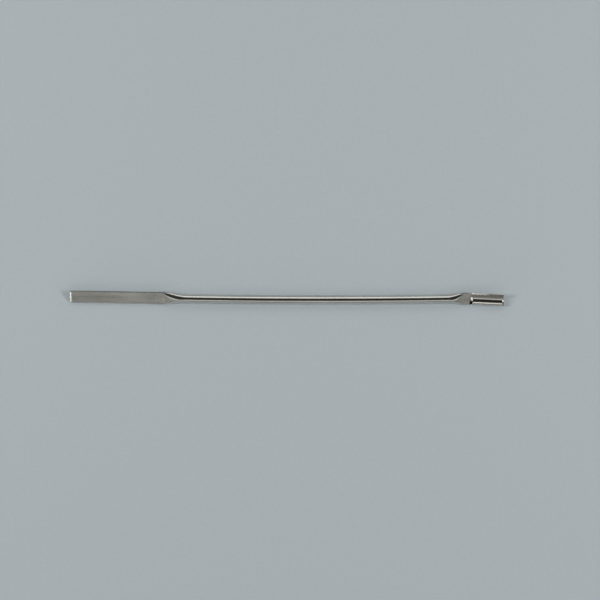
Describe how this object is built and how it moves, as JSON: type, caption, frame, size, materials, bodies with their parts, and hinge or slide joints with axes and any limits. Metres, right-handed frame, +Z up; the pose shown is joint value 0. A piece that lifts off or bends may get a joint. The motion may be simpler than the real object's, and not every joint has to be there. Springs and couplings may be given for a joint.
{
  "type": "double-ended lab spatula",
  "caption": "Slim steel lab spatula: a round rod with a long flat square-ended blade at one end and a short open trough scoop at the other.",
  "frame": {"origin": "on the floor, below the middle of the part's length and width as it lies at rest", "axes": "+X along the rod from the blade towards the trough, +Z up from the floor; the flat faces lean about 30 degrees from +Z towards -Y"},
  "size_m": [0.15, 0.0054, 0.0037],
  "materials": {
    "steel": "bright, drawn along the rod, with fine handling scratches"
  },
  "bodies": {
    "root": {"blade": "steel", "rod": "steel", "trough": "steel"}
  },
  "joints": []
}
